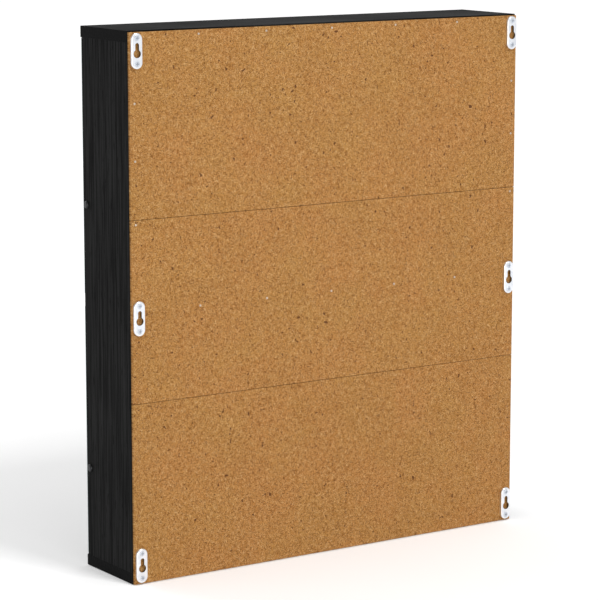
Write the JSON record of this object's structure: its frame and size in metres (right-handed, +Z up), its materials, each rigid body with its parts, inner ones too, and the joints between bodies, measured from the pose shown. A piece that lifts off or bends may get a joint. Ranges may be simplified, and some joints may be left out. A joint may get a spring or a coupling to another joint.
{
  "type": "wall-hung shadow box",
  "caption": "Shallow black display case with clear hinged doors, loose shelves and a folding hardboard back with keyhole hangers.",
  "frame": {"origin": "middle of the bottom board's underside", "axes": "+Z up, -Y towards the doors at the front, +Y towards the wall, +X to the right seen from the front"},
  "size_m": [0.5053, 0.1151, 0.58],
  "materials": {
    "black_board": "black wood-grain foil on board, satin",
    "hardboard": "raw brown fibreboard outside, black inside",
    "zinc": "bright zinc plate",
    "nail_steel": "bright steel nail",
    "fitting_steel": "nickel-plated steel",
    "knob_metal": "turned, satin nickel",
    "acrylic": "clear acrylic sheet",
    "catch_plastic": "moulded black plastic",
    "magnet": "nickel-plated magnet",
    "tape": "black cloth tape",
    "beech": "plain beech"
  },
  "bodies": {
    "carcass": {"back_nails_left": "nail_steel", "back_nails_middle": "nail_steel", "back_nails_right": "nail_steel", "back_nails_sunk": "nail_steel", "back_nails_top": "nail_steel", "back_panel_lower": "hardboard", "back_panel_middle": "hardboard", "back_panel_upper": "hardboard", "bottom_board": "black_board", "bottom_joint_dowels": "beech", "hanger_plate_lower_left": "zinc", "hanger_plate_lower_right": "zinc", "hanger_plate_middle_left": "zinc", "hanger_plate_middle_right": "zinc", "hanger_plate_upper_left": "zinc", "hanger_plate_upper_right": "zinc", "hanger_screws": "zinc", "left_side_board": "black_board", "lower_catch_body": "catch_plastic", "lower_catch_bolt": "fitting_steel", "lower_catch_magnet": "magnet", "lower_catch_nut": "fitting_steel", "lower_fold_tape": "tape", "lower_hinge_frame_leaves": "fitting_steel", "lower_hinge_frame_screws": "fitting_steel", "lower_hinge_pins": "fitting_steel", "lower_shelf": "black_board", "lower_shelf_pins": "fitting_steel", "middle_board": "black_board", "middle_joint_dowels": "beech", "right_side_board": "black_board", "top_board": "black_board", "top_joint_dowels": "beech", "upper_catch_body": "catch_plastic", "upper_catch_bolt": "fitting_steel", "upper_catch_magnet": "magnet", "upper_catch_nut": "fitting_steel", "upper_fold_tape": "tape", "upper_hinge_frame_leaves": "fitting_steel", "upper_hinge_frame_screws": "fitting_steel", "upper_hinge_pins": "fitting_steel", "upper_shelf": "black_board", "upper_shelf_pins": "fitting_steel"},
    "upper_door": {"upper_door_knob": "knob_metal", "upper_door_pane": "acrylic", "upper_door_strike": "fitting_steel", "upper_hinge_door_leaves": "fitting_steel", "upper_hinge_door_nuts": "fitting_steel", "upper_hinge_door_screws": "fitting_steel", "upper_knob_screw": "fitting_steel"},
    "lower_door": {"lower_door_knob": "knob_metal", "lower_door_pane": "acrylic", "lower_door_strike": "fitting_steel", "lower_hinge_door_leaves": "fitting_steel", "lower_hinge_door_nuts": "fitting_steel", "lower_hinge_door_screws": "fitting_steel", "lower_knob_screw": "fitting_steel"}
  },
  "joints": [
    {"name": "upper_door_hinge", "type": "hinge", "parent": "carcass", "child": "upper_door", "pos_m": [-0.2513, -0.0498, 0.432], "axis": [0, 0, -1], "range_deg": [0, 180]},
    {"name": "lower_door_hinge", "type": "hinge", "parent": "carcass", "child": "lower_door", "pos_m": [-0.2513, -0.0498, 0.148], "axis": [0, 0, -1], "range_deg": [0, 180]}
  ]
}
